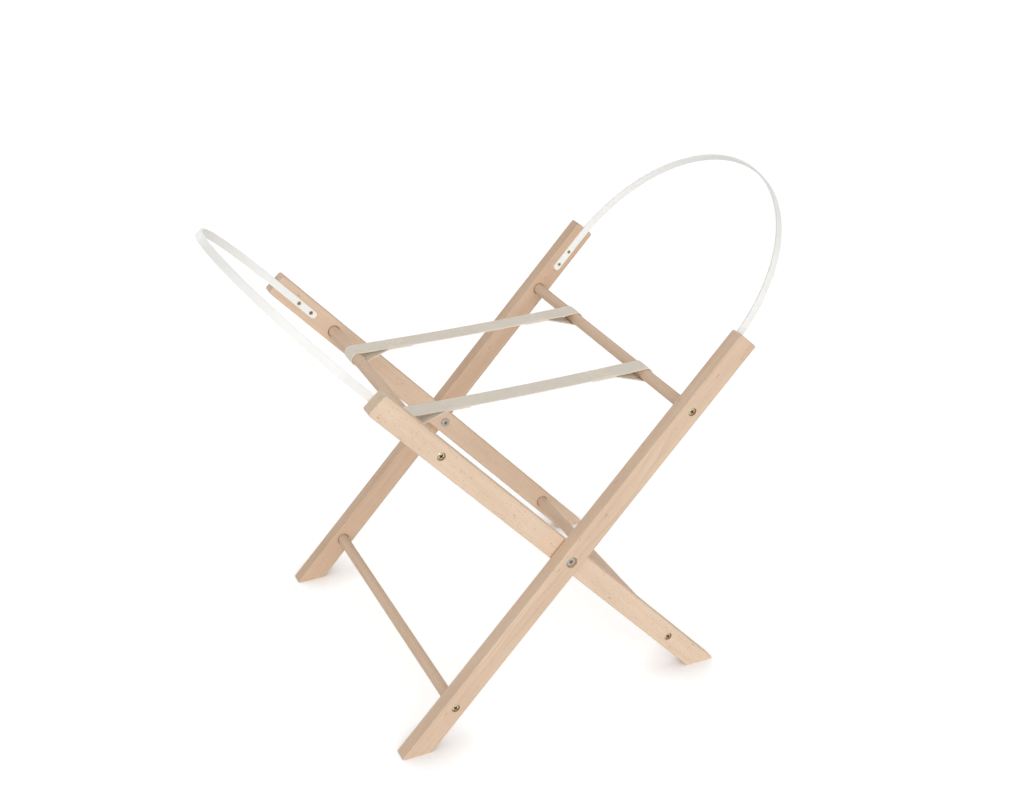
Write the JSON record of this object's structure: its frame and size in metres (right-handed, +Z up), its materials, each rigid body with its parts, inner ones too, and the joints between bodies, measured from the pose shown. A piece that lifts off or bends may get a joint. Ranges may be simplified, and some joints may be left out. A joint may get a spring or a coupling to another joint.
{
  "type": "folding moses basket stand",
  "caption": "Folding stand for a moses basket: two crossing beech frames on a pivot, round rails, white half-round bows and webbing straps that hold it open",
  "frame": {"origin": "on the floor, midway between the feet and under the pivot", "axes": "+X along the crossed legs, to the side that the front outer leg rises to; +Y to the back; +Z up"},
  "size_m": [0.7805, 0.483, 0.6667],
  "materials": {
    "leg_beech": "fine-sanded beech under a clear matt lacquer",
    "rail_beech": "turned beech dowel under a clear matt lacquer",
    "screw_nickel": "warm nickel-plated steel",
    "pivot_steel": "zinc-plated steel",
    "washer_nylon": "natural nylon",
    "bow_white": "white powder coat, satin",
    "strap_cotton": "natural cotton webbing"
  },
  "bodies": {
    "outer_frame": {"outer_leg_front": "leg_beech", "outer_leg_rear": "leg_beech", "outer_upper_rail": "rail_beech", "outer_lower_rail": "rail_beech", "outer_front_rail_screws": "screw_nickel", "outer_rear_rail_screws": "screw_nickel", "pivot_bolt_front": "pivot_steel", "pivot_bolt_rear": "pivot_steel", "pivot_sleeve_front": "pivot_steel", "pivot_sleeve_rear": "pivot_steel", "pivot_washer_front": "washer_nylon", "pivot_washer_rear": "washer_nylon", "outer_bow": "bow_white", "outer_bow_front_screws": "screw_nickel", "outer_bow_rear_screws": "screw_nickel", "strap_front": "strap_cotton", "strap_rear": "strap_cotton"},
    "inner_frame": {"inner_leg_front": "leg_beech", "inner_leg_rear": "leg_beech", "inner_upper_rail": "rail_beech", "inner_lower_rail": "rail_beech", "inner_front_rail_screws": "screw_nickel", "inner_rear_rail_screws": "screw_nickel", "inner_bow": "bow_white", "inner_bow_front_screws": "screw_nickel", "inner_bow_rear_screws": "screw_nickel"}
  },
  "joints": [
    {"name": "fold", "type": "hinge", "parent": "outer_frame", "child": "inner_frame", "pos_m": [0, 0, 0.243], "axis": [0, 1, 0], "range_deg": [0, 79], "deforming": ["strap_front", "strap_rear"]}
  ]
}
